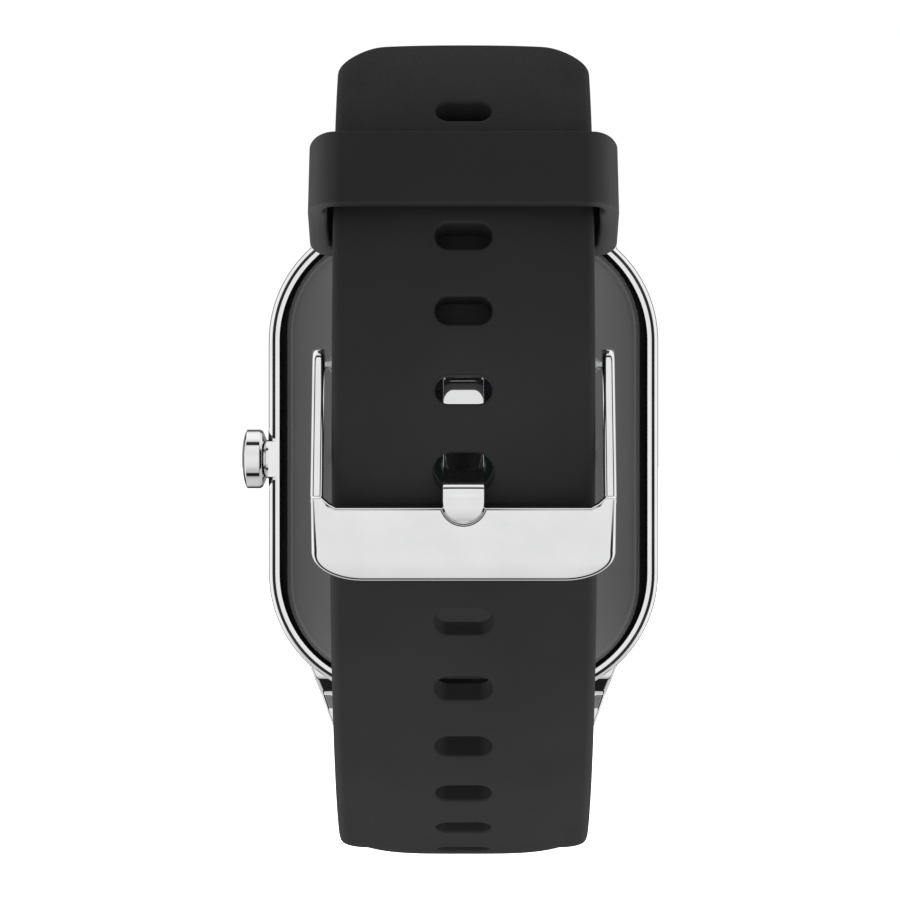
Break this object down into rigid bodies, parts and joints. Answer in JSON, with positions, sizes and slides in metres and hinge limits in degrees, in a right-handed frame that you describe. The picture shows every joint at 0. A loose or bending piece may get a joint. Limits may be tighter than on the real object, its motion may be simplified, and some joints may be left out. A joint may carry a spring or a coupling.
{
  "type": "smartwatch",
  "caption": "Rectangular smartwatch with rounded corners and a rotary crown, on a silicone band closed by a pin buckle and a keeper loop.",
  "frame": {"origin": "middle of the wrist opening, level with the middle of the case height", "axes": "+X across the band, away from the crown; +Y the way the display faces; +Z towards 12 o'clock"},
  "size_m": [0.0403, 0.0615, 0.0728],
  "materials": {
    "polished_steel": "polished",
    "cover_satin": "satin, faintly speckled",
    "silicone": "matte moulded silicone",
    "display_glass": "polished, tinted black",
    "sensor_glass": "polished, tinted black",
    "display_black": "smooth",
    "seal_rubber": "matte",
    "circuit_board": "solder mask",
    "led_lens": "clear moulded",
    "chip_black": "moulded",
    "gold_contact": "gold plated",
    "inner_steel": "satin",
    "battery_foil": "laminated pouch",
    "inner_plastic": "moulded",
    "flex_film": "polyimide film"
  },
  "bodies": {
    "watch": {"case_frame": "polished_steel", "back_cover": "cover_satin", "back_gasket": "seal_rubber", "sensor_window": "sensor_glass", "sensor_board": "circuit_board", "sensor_leds": "led_lens", "photodiodes": "chip_black", "charging_contacts": "gold_contact", "charging_magnets": "inner_steel", "battery": "battery_foil", "mainboard": "circuit_board", "processor": "chip_black", "memory_chip": "chip_black", "shield_can": "inner_steel", "inner_frame": "inner_plastic", "board_screws": "inner_steel", "vibration_motor": "inner_steel", "speaker": "chip_black", "microphone": "gold_contact", "antenna": "gold_contact", "display_flex": "flex_film", "display_panel": "display_black", "display_adhesive": "seal_rubber", "display_glass": "display_glass", "crown_tube": "inner_steel", "crown_switch": "chip_black", "hole_strap": "silicone", "buckle_strap": "silicone", "upper_spring_bar": "inner_steel", "lower_spring_bar": "inner_steel", "buckle_pin": "inner_steel"},
    "crown_press": {"crown_spring_plate": "inner_steel"},
    "crown": {"crown_knob": "polished_steel", "crown_shaft": "inner_steel", "crown_seals": "seal_rubber", "crown_clip": "inner_steel"},
    "buckle": {"buckle_frame": "polished_steel"},
    "tongue": {"buckle_tongue": "polished_steel"},
    "keeper_loop": {"keeper": "silicone"},
    "upper_release_bar": {"upper_release": "inner_steel"},
    "lower_release_bar": {"lower_release": "inner_steel"}
  },
  "joints": [
    {"name": "crown_push", "type": "slide", "parent": "watch", "child": "crown_press", "axis": [1, 0, 0], "range_m": [0, 0.00025], "stiffness_N_per_m": 4000, "springref_m": -0.0003},
    {"name": "crown_turn", "type": "hinge", "parent": "crown_press", "child": "crown", "pos_m": [0, 0.016, -0.0002], "axis": [-1, 0, 0], "continuous": true},
    {"name": "buckle_lift", "type": "hinge", "parent": "watch", "child": "buckle", "pos_m": [0, -0.03291, 0.00777], "axis": [-1, 0, 0], "range_deg": [0, 6]},
    {"name": "tongue_lift", "type": "hinge", "parent": "buckle", "child": "tongue", "pos_m": [0, -0.03291, 0.00777], "axis": [-1, 0, 0], "range_deg": [0, 6]},
    {"name": "keeper_slide", "type": "hinge", "parent": "watch", "child": "keeper_loop", "pos_m": [0, 0, 0.0042], "axis": [-1, 0, 0], "range_deg": [-16, 6]},
    {"name": "upper_release_slide", "type": "slide", "parent": "watch", "child": "upper_release_bar", "axis": [-1, 0, 0], "range_m": [0, 0.0013], "stiffness_N_per_m": 500, "springref_m": -0.002},
    {"name": "lower_release_slide", "type": "slide", "parent": "watch", "child": "lower_release_bar", "axis": [-1, 0, 0], "range_m": [0, 0.0013], "stiffness_N_per_m": 500, "springref_m": -0.002}
  ]
}
